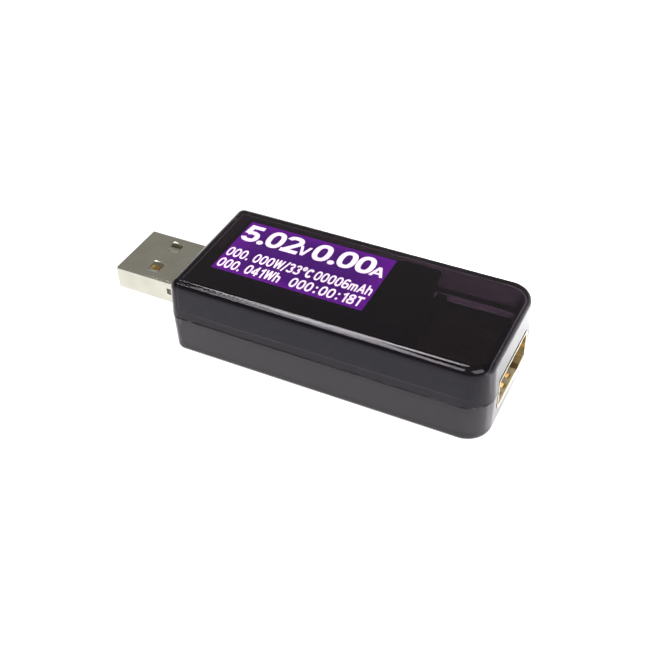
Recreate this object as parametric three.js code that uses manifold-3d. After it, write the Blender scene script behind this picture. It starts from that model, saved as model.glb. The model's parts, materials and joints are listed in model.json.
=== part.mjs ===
// A pass-through USB power meter. A two-part case of smoky plastic holds one board between a USB-A plug
// and a USB-A socket, with a backlit display under the top cover and a reset button in one long side.
// Millimetres. +Z is up and +X runs from the plug to the socket. The origin is the middle of the
// overall box, at its base.

import * as THREE from 'three';
import Module from 'manifold-3d';
import { mergeVertices } from 'three/addons/utils/BufferGeometryUtils.js';

const wasm = await Module();
wasm.setup();

// Case
const caseLength = 55.0;
const caseWidth = 24.4;
const caseHeight = 14.35;
const seamHeight = 7.4;
const seamGap = 0.1;
const wall = 1.2;
const floorThickness = 1.3;
const plugCorner = 1.8;
const socketCorner = 4.3;
const innerCorner = 0.6;
const topEdge = 1.5;
const bottomEdge = 1.15;
const topDraft = 0.3;
const bottomDraft = 0.1;
const coverStep = 0.06;
const lipThickness = 0.5;
const lipHeight = 0.9;
const fitGap = 0.1;

// USB-A plug and socket, to the standard's sizes
const sheet = 0.3;
const sheetBend = 0.5;
const plugReach = 14.7;
const plugShellLength = 18.8;
const plugWidth = 12.0;
const plugHeight = 4.5;
const plugMiddle = 6.17;
const socketLength = 14.0;
const socketWidth = 13.1;
const socketHeight = 5.7;
const socketMiddle = 6.4;
const tongueWidth = 11.1;
const plugTongueHeight = 1.9;
const socketTongueHeight = 1.84;
const contactPlaces = [-3.5, -1.0, 1.0, 3.5];
const contactWidth = 1.0;
const contactThickness = 0.2;

// Board
const boardThickness = 1.0;
const boardTop = 6.4;
const boardGap = 0.35;

// Display, with the middle and size of its lit area
const litLength = 27.3;
const litWidth = 14.0;
const litMiddleX = -2.5;
const litMiddleY = 2.6;
const glassThickness = 0.5;
const displayBase = 9.6;
const rearGlassBase = 11.5;
const ledgeLength = 5.4;

// Reset button and its switch
const buttonX = 3.0;
const buttonHeight = 8.4;
const buttonLength = 3.2;
const buttonTall = 1.5;
const switchLength = 6.0;
const switchFront = 9.0;

// Values that follow from the driving dimensions
const overallLength = plugReach + caseLength;
const plugTip = -overallLength / 2;
const plugFace = plugTip + plugReach;
const socketFace = overallLength / 2;
const caseMiddle = (plugFace + socketFace) / 2;
const halfWidth = caseWidth / 2;
const plugRear = plugTip + plugShellLength;
const socketRear = socketFace - socketLength;
const boardBase = boardTop - boardThickness;
const frontGlassBase = rearGlassBase + glassThickness;
const glassTop = frontGlassBase + glassThickness;

// Outlines

// A rectangle with round corners, its start and end corners of different radii.
// The arcs are joined by straight lines of their own accord.
function outline(x0, x1, y0, y1, startRadius, endRadius = startRadius) {
  const shape = new THREE.Shape();
  const quarter = Math.PI / 2;
  shape.absarc(x1 - endRadius, y0 + endRadius, endRadius, -quarter, 0, false);
  shape.absarc(x1 - endRadius, y1 - endRadius, endRadius, 0, quarter, false);
  shape.absarc(x0 + startRadius, y1 - startRadius, startRadius, quarter, 2 * quarter, false);
  shape.absarc(x0 + startRadius, y0 + startRadius, startRadius, 2 * quarter, 3 * quarter, false);
  return shape;
}

// The case in plan, its wall set in by a distance
function caseOutline(inset) {
  const y = halfWidth - inset;
  const startRadius = Math.max(plugCorner - inset, innerCorner);
  return outline(plugFace + inset, socketFace - inset, -y, y, startRadius, socketCorner - inset);
}

// The outline of a strip of sheet that follows a line of points
function stripOutline(points, thickness) {
  const path = points.map(([x, z]) => new THREE.Vector2(x, z));
  const sides = [1, -1].map((side) => path.map((point, i) => {
    const before = path[Math.max(i - 1, 0)];
    const after = path[Math.min(i + 1, path.length - 1)];
    const into = point.clone().sub(before).normalize();
    const out = after.clone().sub(point).normalize();
    const along = into.add(out).normalize();
    const leg = i === 0 || i === path.length - 1 ? along : out;
    const reach = (side * thickness) / 2 / Math.max(along.dot(leg), 0.5);
    return new THREE.Vector2(point.x - along.y * reach, point.y + along.x * reach);
  }));
  return new THREE.Shape([...sides[0], ...sides[1].reverse()]);
}

// Solids

function block(x0, x1, y0, y1, z0, z1) {
  const geometry = new THREE.BoxGeometry(x1 - x0, y1 - y0, z1 - z0);
  return geometry.translate((x0 + x1) / 2, (y0 + y1) / 2, (z0 + z1) / 2);
}

function extrusion(shape, length, edge) {
  const geometry = new THREE.ExtrudeGeometry(shape, {
    depth: length - 2 * edge,
    bevelEnabled: edge > 0,
    bevelThickness: edge,
    bevelSize: edge,
    bevelOffset: -edge,
    bevelSegments: 5,
    curveSegments: 8,
  });
  return geometry.translate(0, 0, edge);
}

// An outline in plan, raised from z0 to z1, its edges rounded by a radius
function slab(shape, z0, z1, edge = 0) {
  return extrusion(shape, z1 - z0, edge).translate(0, 0, z0);
}

// An outline in the XZ plane, drawn out along Y
function prismY(shape, y0, y1, edge = 0) {
  return extrusion(shape, y1 - y0, edge).rotateX(Math.PI / 2).translate(0, y1, 0);
}

// An outline in the YZ plane, drawn out along X
function prismX(shape, x0, x1, edge = 0) {
  const turn = new THREE.Matrix4().makeBasis(
    new THREE.Vector3(0, 1, 0),
    new THREE.Vector3(0, 0, 1),
    new THREE.Vector3(1, 0, 0),
  );
  return extrusion(shape, x1 - x0, edge).applyMatrix4(turn).translate(x0, 0, 0);
}

function strip(points, thickness, y, width) {
  return prismY(stripOutline(points, thickness), y - width / 2, y + width / 2);
}

// Leans the case's walls in by an inset between two heights, as mould draft does
function drafted(geometry, fromZ, toZ, inset) {
  const place = geometry.attributes.position;
  for (let i = 0; i < place.count; i += 1) {
    const share = THREE.MathUtils.clamp((place.getZ(i) - fromZ) / (toZ - fromZ), 0, 1);
    const x = (place.getX(i) - caseMiddle) * (1 - (inset * share) / (caseLength / 2));
    place.setX(i, caseMiddle + x);
    place.setY(i, place.getY(i) * (1 - (inset * share) / halfWidth));
  }
  return geometry;
}

// A geometry class repeats a vertex for each face that meets there, so its vertices are joined first.
// What geometryOf gives is closed already.
function solidOf(geometry) {
  let closed = geometry;
  if (!geometry.userData.closed) {
    closed = geometry.clone();
    closed.deleteAttribute('normal');
    closed.deleteAttribute('uv');
    closed = mergeVertices(closed, 1e-4);
  }
  return new wasm.Manifold(new wasm.Mesh({
    numProp: 3,
    vertProperties: new Float32Array(closed.attributes.position.array),
    triVerts: new Uint32Array(closed.index.array),
  }));
}

function geometryOf(solid) {
  const mesh = solid.getMesh();
  const geometry = new THREE.BufferGeometry();
  geometry.setAttribute('position', new THREE.BufferAttribute(mesh.vertProperties, 3));
  geometry.setIndex(new THREE.BufferAttribute(mesh.triVerts, 1));
  geometry.computeVertexNormals();
  geometry.userData.closed = true;
  return geometry;
}

function cut(geometry, tools) {
  return geometryOf(tools.reduce((solid, tool) => solid.subtract(solidOf(tool)), solidOf(geometry)));
}

function join(geometry, others) {
  return geometryOf(others.reduce((solid, other) => solid.add(solidOf(other)), solidOf(geometry)));
}

// Finishes

const finishes = {
  smokyPlastic: { color: 0x1d1620, roughness: 0.08, metalness: 0 },
  buttonPlastic: { color: 0x17141a, roughness: 0.35, metalness: 0 },
  nickel: { color: 0xb4b0a6, roughness: 0.3, metalness: 1 },
  gold: { color: 0xc79a46, roughness: 0.25, metalness: 1 },
  whitePlastic: { color: 0xdedbd2, roughness: 0.5, metalness: 0 },
  blackPlastic: { color: 0x121214, roughness: 0.6, metalness: 0 },
  laminate: { color: 0x17402a, roughness: 0.4, metalness: 0 },
  clearAcrylic: { color: 0xe4e8ef, roughness: 0.1, metalness: 0 },
  glass: { color: 0x2a2230, roughness: 0.05, metalness: 0 },
  polariser: { color: 0x3a1570, roughness: 0.15, metalness: 0 },
  chipEpoxy: { color: 0x1b1b1d, roughness: 0.55, metalness: 0 },
  ceramic: { color: 0x8a7256, roughness: 0.6, metalness: 0 },
  film: { color: 0x9a5a1c, roughness: 0.35, metalness: 0 },
  foam: { color: 0x26262a, roughness: 0.95, metalness: 0 },
};

const meter = new THREE.Group();

function addPiece(name, geometry, finish, group = meter) {
  const piece = new THREE.Mesh(geometry, new THREE.MeshStandardMaterial(finishes[finish]));
  piece.name = name;
  group.add(piece);
  return piece;
}

// Openings in the case's walls

function plugOpening() {
  const y = plugWidth / 2 + fitGap;
  const z = plugHeight / 2 + fitGap;
  const shape = outline(-y, y, plugMiddle - z, plugMiddle + z, sheetBend);
  return prismX(shape, plugFace - 1, plugFace + wall + 1);
}

function socketOpening() {
  const y = socketWidth / 2 + fitGap;
  const z = socketHeight / 2 + fitGap;
  const shape = outline(-y, y, socketMiddle - z, socketMiddle + z, sheetBend);
  return prismX(shape, socketFace - wall - 1, socketFace + 1);
}

function buttonOutline(margin) {
  const x = buttonLength / 2 + margin;
  const z = buttonTall / 2 + margin;
  return outline(buttonX - x, buttonX + x, buttonHeight - z, buttonHeight + z, z - 0.05);
}

// The upper shell: a lid with a rebate round its lower edge for the other shell's lip
function topCover() {
  const ceiling = caseHeight - wall;
  const below = block(plugFace - 1, socketFace + 1, -halfWidth - 1, halfWidth + 1, 0, seamHeight);
  const outside = cut(slab(caseOutline(0), seamHeight - 3, caseHeight, topEdge), [below]);
  const cavity = slab(caseOutline(wall), seamHeight - 2, ceiling, 0.5);
  const rebateTop = seamHeight + lipHeight + fitGap;
  const rebate = slab(caseOutline(wall - lipThickness - fitGap), seamHeight - 1, rebateTop);
  return cut(drafted(outside, seamHeight, caseHeight, topDraft), [
    drafted(cavity, seamHeight, caseHeight, topDraft),
    rebate,
    plugOpening(),
    socketOpening(),
    prismY(buttonOutline(0.12), halfWidth - 2, halfWidth + 1),
  ]);
}

// The lower shell: a tray with a lip that enters the upper shell, and posts under the board
function bottomCover() {
  const rim = seamHeight - seamGap;
  const above = block(plugFace - 1, socketFace + 1, -halfWidth - 1, halfWidth + 1, rim, caseHeight);
  const outside = cut(slab(caseOutline(coverStep), 0, rim + 3, bottomEdge), [above]);
  const lipBlank = slab(caseOutline(wall - lipThickness), rim - 0.5, seamHeight + lipHeight);
  const tray = cut(join(drafted(outside, rim, 0, bottomDraft), [lipBlank]), [
    slab(caseOutline(wall), floorThickness, caseHeight),
  ]);

  const postTop = boardBase - 0.05;
  const plugPostX = plugFace + wall - 0.2;
  const posts = [];
  for (const side of [-1, 1]) {
    const inner = side * (halfWidth - wall - 1.0);
    const outer = side * (halfWidth - wall + 0.2);
    const y0 = Math.min(inner, outer);
    const y1 = Math.max(inner, outer);
    posts.push(block(caseMiddle - 0.5, caseMiddle + 0.5, y0, y1, floorThickness - 0.2, postTop));
    posts.push(block(plugPostX, plugPostX + 1.8, y0, y1, floorThickness - 0.2, postTop));
    const cornerX = socketFace - wall - 2.6;
    posts.push(block(cornerX, cornerX + 1.2, y0, y1, floorThickness - 0.2, postTop));
  }
  const slot = buttonLength / 2 + 0.25;
  const slotY = halfWidth - wall - 1;
  const buttonSlot = block(buttonX - slot, buttonX + slot, slotY, halfWidth + 1, rim, caseHeight);
  return cut(join(tray, posts), [plugOpening(), socketOpening(), buttonSlot]);
}

// A connector's sheet-metal shell: a rounded rectangular tube with a joint line along one face
function shellTube(width, height, middle, x0, x1, seamSide) {
  const y = width / 2;
  const z = height / 2;
  const shape = outline(-y, y, middle - z, middle + z, sheetBend);
  const inner = sheetBend - sheet;
  shape.holes.push(outline(-y + sheet, y - sheet, middle - z + sheet, middle + z - sheet, inner));
  const seamFace = middle + seamSide * z;
  const seam = block(x0 - 1, x1 + 1, -0.05, 0.05, seamFace - sheet - 0.1, seamFace + sheet + 0.1);
  return cut(prismX(shape, x0, x1), [seam]);
}

// Solder tabs that stand out from a shell's sides and rest on the board's ears
function shellTabs(halfShell, x0, x1) {
  return [-1, 1].map((side) => {
    const near = side * (halfShell - sheet + 0.05);
    const far = side * (halfShell + 1.8);
    const z0 = boardTop + 0.02;
    return block(x0, x1, Math.min(near, far), Math.max(near, far), z0, z0 + sheet);
  });
}

function plugShell() {
  const windowX = plugTip + 6.3;
  const lockX = plugFace - 4.2;
  const half = plugWidth / 2;
  const windows = [];
  for (const y of [-3.0, 3.0]) {
    windows.push(block(windowX - 1.05, windowX + 1.05, y - 1.25, y + 1.25, 0, plugMiddle - 1));
    windows.push(block(windowX - 1.05, windowX + 1.05, y - 1.25, y + 1.25, plugMiddle + 1, caseHeight));
  }
  const locks = block(lockX - 0.4, lockX + 0.4, -half - 1, half + 1, plugMiddle - 0.4, plugMiddle + 0.8);
  const tube = shellTube(plugWidth, plugHeight, plugMiddle, plugTip, plugRear, -1);
  return join(cut(tube, [...windows, locks]), shellTabs(half, plugRear - 1.6, plugRear - 0.3));
}

// The plug's plastic: a tongue along the shell's floor, and a block that fills its rear
function plugInsulator() {
  const base = plugMiddle - plugHeight / 2 + sheet + 0.05;
  const top = plugMiddle + plugHeight / 2 - sheet - 0.05;
  const y = tongueWidth / 2;
  const tongue = block(plugTip + 0.3, plugRear - 0.2, -y, y, base, base + plugTongueHeight);
  const rear = block(plugRear - 6.0, plugRear - 0.2, -y, y, base, top);
  const slots = contactPlaces.map((place) => {
    const side = contactWidth / 2 + 0.05;
    const z = plugContactHeight();
    const under = z - contactThickness / 2 - 0.05;
    const over = z + contactThickness / 2 + 0.05;
    return block(plugTip - 1, plugRear + 1, place - side, place + side, under, over);
  });
  return cut(join(tongue, [rear]), slots);
}

function plugContactHeight() {
  return plugMiddle - plugHeight / 2 + sheet + 0.05 + plugTongueHeight;
}

function addPlug() {
  addPiece('plug_shell', plugShell(), 'nickel');
  addPiece('plug_insulator', plugInsulator(), 'whitePlastic');
  contactPlaces.forEach((place, i) => {
    const outer = Math.abs(place) > 2;
    const z = plugContactHeight();
    const tailZ = boardTop + 0.02 + contactThickness / 2;
    const points = [
      [plugTip + (outer ? 0.9 : 1.9), z],
      [plugRear - 0.1, z],
      [plugRear + 0.3, tailZ],
      [plugRear + 1.8, tailZ],
    ];
    addPiece(`plug_contact_${i + 1}`, strip(points, contactThickness, place, contactWidth), 'gold');
  });
}

// One leaf of a shell's wall, cut free on three sides and bowed into the opening.
// It is made for the shell's floor at height 0, with the opening above it.
function springLeaf(y) {
  const root = socketFace - 8.6;
  const points = [
    [root - 0.2, sheet / 2],
    [root + 0.8, sheet / 2],
    [root + 3.4, 0.52],
    [root + 4.8, 0.3],
  ];
  return strip(points, sheet - 0.05, y, 2.0);
}

function springWindow(y) {
  const root = socketFace - 8.6;
  return block(root, root + 5.2, y - 1.3, y + 1.3, -0.5, sheet + 0.2);
}

function socketShell() {
  const half = socketWidth / 2;
  const base = socketMiddle - socketHeight / 2;
  const top = socketMiddle + socketHeight / 2;
  const toFloor = (geometry) => geometry.translate(0, 0, base);
  const toRoof = (geometry) => geometry.rotateX(Math.PI).translate(0, 0, top);
  const toNear = (geometry) => geometry.rotateX(-Math.PI / 2).translate(0, -half, socketMiddle);
  const toFar = (geometry) => geometry.rotateX(Math.PI / 2).translate(0, half, socketMiddle);
  const places = [
    [toFloor, -2.9], [toFloor, 2.9], [toRoof, -2.9], [toRoof, 2.9], [toNear, 0], [toFar, 0],
  ];
  const tube = shellTube(socketWidth, socketHeight, socketMiddle, socketRear, socketFace, 1);
  const windows = places.map(([toWall, y]) => toWall(springWindow(y)));
  const leaves = places.map(([toWall, y]) => toWall(springLeaf(y)));
  const backBase = socketMiddle + 0.6;
  const back = block(socketRear, socketRear + sheet, -half + 0.6, half - 0.6, backBase, top - 0.1);
  const tabs = [
    ...shellTabs(half, socketRear + 2.4, socketRear + 3.8),
    ...shellTabs(half, socketRear + 9.6, socketRear + 11.0),
  ];
  return join(cut(tube, windows), [...leaves, back, ...tabs]);
}

// The socket's plastic: a block at the rear, and the tongue that enters the plug
function socketInsulator() {
  const base = socketMiddle - socketHeight / 2 + sheet + 0.05;
  const top = socketMiddle + socketHeight / 2 - sheet - 0.05;
  const y = socketWidth / 2 - sheet - 0.05;
  const blockFront = socketRear + 4.6;
  const rear = block(socketRear + sheet + 0.05, blockFront, -y, y, base, top);
  const tongueTop = top - 0.65;
  const half = tongueWidth / 2;
  const tongueBase = tongueTop - socketTongueHeight;
  const tongue = block(blockFront - 0.5, socketFace - 0.75, -half, half, tongueBase, tongueTop);
  const slotX1 = socketFace - 1.1;
  const slotBase = boardTop - 0.05;
  const slotTop = socketMiddle + 0.5;
  const slots = contactPlaces.map((place) => {
    const side = contactWidth / 2 + 0.05;
    return block(socketRear - 1, slotX1, place - side, place + side, slotBase, slotTop);
  });
  return cut(join(rear, [tongue]), slots);
}

function addSocket() {
  addPiece('socket_shell', socketShell(), 'nickel');
  addPiece('socket_insulator', socketInsulator(), 'whitePlastic');
  const tailZ = boardTop + 0.02 + contactThickness / 2;
  const points = [
    [socketRear - 1.25, tailZ],
    [socketRear + 4.4, tailZ],
    [socketRear + 5.2, tailZ - 0.1],
    [socketFace - 4.4, socketMiddle - 0.72],
    [socketFace - 3.2, socketMiddle - 0.72],
    [socketFace - 1.5, tailZ + 0.05],
  ];
  contactPlaces.forEach((place, i) => {
    addPiece(`socket_contact_${i + 1}`, strip(points, contactThickness, place, contactWidth), 'gold');
  });
}

// The board: cut away at both ends, where the connectors sit in its thickness
function mainBoard() {
  const inset = wall + boardGap;
  const blank = slab(caseOutline(inset), boardBase, boardTop);
  const plugNotch = plugWidth / 2 + 0.2;
  const socketNotch = socketWidth / 2 + 0.2;
  return cut(blank, [
    block(plugFace, plugRear + 0.25, -plugNotch, plugNotch, 0, caseHeight),
    block(socketRear - 0.3, socketFace, -socketNotch, socketNotch, 0, caseHeight),
  ]);
}

// Board parts. Each is made at the origin on the plane z = 0, and mounted over or under the board.

function terminalChip(length, width, height) {
  const x = length / 2;
  const y = width / 2;
  const caps = [-1, 1].map((side) => {
    const outer = side * (x + 0.03);
    const inner = side * (x - length * 0.2);
    return block(Math.min(outer, inner), Math.max(outer, inner), -y - 0.03, y + 0.03, 0, height + 0.03);
  });
  return join(block(-x, x, -y, y, 0.03, height), caps);
}

function leadedChip(length, width, height, leadsPerSide, pitch) {
  const body = block(-length / 2, length / 2, -width / 2, width / 2, 0.1, height);
  const knee = height * 0.55;
  const leads = [];
  for (let i = 0; i < leadsPerSide; i += 1) {
    const x = (i - (leadsPerSide - 1) / 2) * pitch;
    for (const side of [-1, 1]) {
      const shape = stripOutline([[-0.3, knee], [0.3, knee], [0.5, 0.08], [1.0, 0.08]], 0.15);
      const lead = prismY(shape, -pitch * 0.22, pitch * 0.22);
      lead.rotateZ((side * Math.PI) / 2).translate(x, (side * width) / 2, 0);
      leads.push(lead);
    }
  }
  return join(body, leads);
}

function mount(name, geometry, finish, x, y, { turn = 0, under = false } = {}) {
  const place = new THREE.Group();
  place.position.set(x, y, under ? boardBase - 0.02 : boardTop + 0.02);
  place.rotation.set(under ? Math.PI : 0, 0, turn);
  meter.add(place);
  addPiece(name, geometry, finish, place);
}

function addBoardParts() {
  const quarter = Math.PI / 2;
  mount('microcontroller', leadedChip(6.5, 4.4, 1.15, 10, 0.65), 'chipEpoxy', -4.0, -1.5);
  mount('regulator', leadedChip(2.9, 1.6, 1.1, 2, 1.9), 'chipEpoxy', -10.5, -7.6);
  mount('current_amplifier', leadedChip(2.9, 1.6, 1.1, 3, 0.95), 'chipEpoxy', 14.5, -7.6);
  const shuntPlace = { under: true, turn: quarter };
  mount('shunt_resistor', terminalChip(6.3, 3.2, 0.6), 'chipEpoxy', 13.5, 0, shuntPlace);
  mount('thermistor', terminalChip(1.6, 0.8, 0.8), 'chipEpoxy', 5.0, 0, { under: true });
  mount('supply_capacitor', terminalChip(3.2, 1.6, 1.6), 'ceramic', 19.2, 8.4, { turn: quarter });
  const capacitorPlaces = [-15.0, -6.0, 7.0];
  capacitorPlaces.forEach((x, i) => {
    mount(`capacitor_${i + 1}`, terminalChip(2.0, 1.25, 0.9), 'ceramic', x, -8.6);
  });
  const resistorPlaces = [-2.5, 0.0, 2.5, 10.0];
  resistorPlaces.forEach((x, i) => {
    mount(`resistor_${i + 1}`, terminalChip(1.6, 0.8, 0.45), 'chipEpoxy', x, -6.2, { turn: quarter });
  });
}

// Display, from the board up: foam, backlight, glass cell, polarisers, driver, flex and mask

const litX0 = litMiddleX - litLength / 2;
const litX1 = litMiddleX + litLength / 2;
const litY0 = litMiddleY - litWidth / 2;
const litY1 = litMiddleY + litWidth / 2;
const cellX0 = litX0 - 1.0;
const cellX1 = litX1 + 1.2;
const ledgeX1 = cellX1 + ledgeLength;
const cellY0 = litY0 - 1.1;
const cellY1 = litY1 + 0.4;
const guideX1 = cellX1 + 0.5;

function displayFrame() {
  const base = displayBase;
  const rim = 0.8;
  const shape = outline(cellX0 - 0.2, ledgeX1 + 0.8, cellY0 - 0.2, cellY1 + 0.2, 0.3, 0.9);
  const tray = slab(shape, base, rearGlassBase - 0.2);
  const pocketTop = rearGlassBase + 1;
  const pocket = block(cellX0 + rim, guideX1, cellY0 + rim, cellY1 - 0.3, base + 0.35, pocketTop);
  const ledX1 = guideX1 + 1.2;
  const ledPocket = block(guideX1 - 0.5, ledX1, cellY0 + 2, cellY1 - 2, base + 0.35, pocketTop);
  return cut(tray, [pocket, ledPocket]);
}

function displayFlex() {
  const bendX = ledgeX1 + 1.15;
  const top = frontGlassBase + 0.1;
  const low = boardTop + 0.1;
  const bend = 0.5;
  const upper = [];
  const lower = [];
  for (let i = 0; i <= 4; i += 1) {
    const angle = (i / 4) * (Math.PI / 2);
    upper.push([bendX - bend + bend * Math.sin(angle), top - bend + bend * Math.cos(angle)]);
    lower.push([bendX - bend + bend * Math.cos(angle), low + bend - bend * Math.sin(angle)]);
  }
  const points = [[ledgeX1 - 1.2, top], ...upper, ...lower, [bendX - 3.6, low]];
  return strip(points, 0.12, litMiddleY - 0.4, 9.0);
}

function addDisplay() {
  const gap = 0.05;
  const pocketBase = displayBase + 0.35 + gap;
  const filmX0 = cellX0 + 0.85;
  const filmX1 = guideX1 - 0.1;
  const filmY0 = cellY0 + 0.85;
  const filmY1 = cellY1 - 0.35;
  const guideTop = rearGlassBase - 0.4;
  addPiece('display_frame', displayFrame(), 'blackPlastic');
  const guide = block(filmX0, filmX1, filmY0, filmY1, pocketBase, guideTop);
  addPiece('light_guide', guide, 'clearAcrylic');
  const diffuser = block(filmX0, filmX1, filmY0, filmY1, guideTop + 0.02, guideTop + 0.18);
  addPiece('diffuser_sheet', diffuser, 'whitePlastic');
  const ledPlaces = [litMiddleY - 3.2, litMiddleY + 3.2];
  ledPlaces.forEach((y, i) => {
    const led = block(guideX1 + 0.05, guideX1 + 1.05, y - 1.4, y + 1.4, pocketBase, guideTop);
    addPiece(`backlight_led_${i + 1}`, led, 'whitePlastic');
  });
  const rearPolariser = block(cellX0, cellX1, cellY0, cellY1, rearGlassBase - 0.17, rearGlassBase - 0.02);
  addPiece('rear_polariser', rearPolariser, 'polariser');
  const rearGlass = block(cellX0, ledgeX1, cellY0, cellY1, rearGlassBase, frontGlassBase);
  addPiece('rear_glass', rearGlass, 'glass');
  const frontGlass = block(cellX0, cellX1, cellY0, cellY1, frontGlassBase + 0.01, glassTop);
  addPiece('front_glass', frontGlass, 'glass');
  const edge = 0.4;
  const frontPolariser = block(
    cellX0 + edge,
    cellX1 - edge,
    cellY0 + edge,
    cellY1 - edge / 2,
    glassTop + 0.01,
    glassTop + 0.16,
  );
  addPiece('front_polariser', frontPolariser, 'polariser');
  const driverX = cellX1 + 2.2;
  const driverHalf = 6.0;
  const driver = block(
    driverX - 0.6,
    driverX + 0.6,
    litMiddleY - driverHalf,
    litMiddleY + driverHalf,
    frontGlassBase + 0.01,
    glassTop - 0.1,
  );
  addPiece('display_driver', driver, 'chipEpoxy');
  addPiece('display_flex', displayFlex(), 'film');
  const maskShape = outline(cellX1 - edge + 0.1, ledgeX1 + 1.45, cellY0 - 0.2, cellY1 + 0.2, 0.2, 1.2);
  addPiece('display_mask', slab(maskShape, glassTop + 0.02, glassTop + 0.15), 'blackPlastic');
  const foamPlaces = [cellX0 + 5.5, litX1 - 3.0];
  foamPlaces.forEach((x, i) => {
    const foam = block(x - 1.2, x + 1.2, litY0 + 0.8, litY1 - 4.6, boardTop + 0.02, displayBase - 0.02);
    addPiece(`display_foam_${i + 1}`, foam, 'foam');
  });
}

// Reset button: a cap trapped behind the far wall, and the side-pressed switch on the board

function switchBase() {
  const half = switchLength / 2;
  const base = boardTop + 0.02;
  const body = block(buttonX - half, buttonX + half, switchFront - 2.4, switchFront, base, base + 2.85);
  const x = 1.1;
  const z = 0.85;
  const pocket = block(
    buttonX - x,
    buttonX + x,
    switchFront - 1.9,
    switchFront + 1,
    buttonHeight - z,
    buttonHeight + z,
  );
  return cut(body, [pocket]);
}

function switchCover() {
  const half = switchLength / 2 + 0.05;
  const thick = 0.12;
  const base = boardTop + 0.05;
  const top = boardTop + 2.95;
  const back = switchFront - 2.4;
  const front = switchFront + 0.05;
  const outer = half + thick;
  const blank = block(buttonX - outer, buttonX + outer, back, front + thick, base, top + thick);
  const feet = [-1, 1].map((side) => {
    const near = buttonX + side * (half + 0.02);
    const far = buttonX + side * (half + 1.2);
    return block(Math.min(near, far), Math.max(near, far), back + 0.6, back + 1.8, base, base + thick);
  });
  return cut(join(blank, feet), [
    block(buttonX - half, buttonX + half, back - 1, front, 0, top),
    block(buttonX - 0.85, buttonX + 0.85, back, front + 1, buttonHeight - 0.6, buttonHeight + 0.6),
  ]);
}

// A shallow snap dome, its crown towards the plunger
function switchDome() {
  const radius = 0.78;
  const rise = 0.3;
  const thick = 0.06;
  const steps = 4;
  const points = [];
  for (let i = 0; i <= steps; i += 1) {
    const share = i / steps;
    points.push(new THREE.Vector2(radius * share, rise * (1 - share * share) - thick));
  }
  for (let i = steps; i >= 0; i -= 1) {
    const share = i / steps;
    points.push(new THREE.Vector2(radius * share, rise * (1 - share * share)));
  }
  return new THREE.LatheGeometry(points, 20).translate(buttonX, switchFront - 1.35, buttonHeight);
}

function switchPlunger() {
  const rear = switchFront - 1.0;
  const pin = (x, z, front) => (
    block(buttonX - x, buttonX + x, rear, front, buttonHeight - z, buttonHeight + z)
  );
  const stem = pin(0.7, 0.45, switchFront + 0.93);
  const shoulder = pin(0.95, 0.7, switchFront - 0.15);
  return join(stem, [shoulder]);
}

function resetButton() {
  const flangeBack = switchFront + 1.0;
  const flange = outline(buttonX - 2.3, buttonX + 2.3, buttonHeight - 1.4, buttonHeight + 1.0, 0.3);
  return join(prismY(buttonOutline(0), flangeBack + 0.2, halfWidth - 0.15, 0.2), [
    prismY(flange, flangeBack, halfWidth - wall - 0.2),
  ]);
}

function addResetButton() {
  addPiece('switch_base', switchBase(), 'blackPlastic');
  addPiece('switch_cover', switchCover(), 'nickel');
  addPiece('switch_dome', switchDome(), 'nickel');
  addPiece('switch_plunger', switchPlunger(), 'whitePlastic');
  addPiece('reset_button', resetButton(), 'buttonPlastic');
}

addPiece('top_cover', topCover(), 'smokyPlastic');
addPiece('bottom_cover', bottomCover(), 'smokyPlastic');
addPiece('main_board', mainBoard(), 'laminate');
addPlug();
addSocket();
addDisplay();
addBoardParts();
addResetButton();

export default meter;
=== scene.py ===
"""A pass-through USB power meter: a smoky two-part case, a lit display, a USB-A plug and a USB-A socket.

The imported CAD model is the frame. This script makes the visible shells, the plug's sheet and the readings
as fine meshes round it, gives every piece a procedural material, and sets up a pale floor, soft lights and
a camera. Everything is in metres, +Z up, with +X from the plug to the socket.
"""

import json
import math

import bmesh
import bpy
from mathutils import Euler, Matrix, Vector, geometry

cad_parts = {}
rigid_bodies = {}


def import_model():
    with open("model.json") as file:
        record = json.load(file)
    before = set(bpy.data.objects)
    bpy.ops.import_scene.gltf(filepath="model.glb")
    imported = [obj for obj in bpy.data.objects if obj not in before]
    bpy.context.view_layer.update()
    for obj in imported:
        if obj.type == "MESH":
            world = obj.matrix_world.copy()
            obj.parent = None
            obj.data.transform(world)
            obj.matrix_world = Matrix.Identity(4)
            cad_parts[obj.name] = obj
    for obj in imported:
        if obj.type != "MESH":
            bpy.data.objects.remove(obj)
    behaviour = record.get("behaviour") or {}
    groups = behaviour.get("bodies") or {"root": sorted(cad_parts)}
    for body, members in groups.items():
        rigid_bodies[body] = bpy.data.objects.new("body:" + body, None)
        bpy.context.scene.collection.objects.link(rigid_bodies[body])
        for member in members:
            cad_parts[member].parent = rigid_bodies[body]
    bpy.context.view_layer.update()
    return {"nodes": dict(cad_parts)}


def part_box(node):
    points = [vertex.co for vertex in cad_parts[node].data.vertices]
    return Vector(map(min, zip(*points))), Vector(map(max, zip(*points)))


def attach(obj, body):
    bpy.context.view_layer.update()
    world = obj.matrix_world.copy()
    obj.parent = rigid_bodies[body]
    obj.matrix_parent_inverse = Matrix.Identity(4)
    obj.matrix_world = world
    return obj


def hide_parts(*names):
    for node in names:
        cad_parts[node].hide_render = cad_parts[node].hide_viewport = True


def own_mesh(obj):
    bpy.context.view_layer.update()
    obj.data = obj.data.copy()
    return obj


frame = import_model()

MM = 0.001
QUARTER = math.pi / 2

# Places that the frame gives
top_low, top_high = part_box("top_cover")
base_low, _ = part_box("bottom_cover")
plug_low, plug_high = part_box("plug_shell")
socket_low, socket_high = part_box("socket_shell")
_, polariser_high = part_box("front_polariser")
button_low, button_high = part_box("reset_button")

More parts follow.
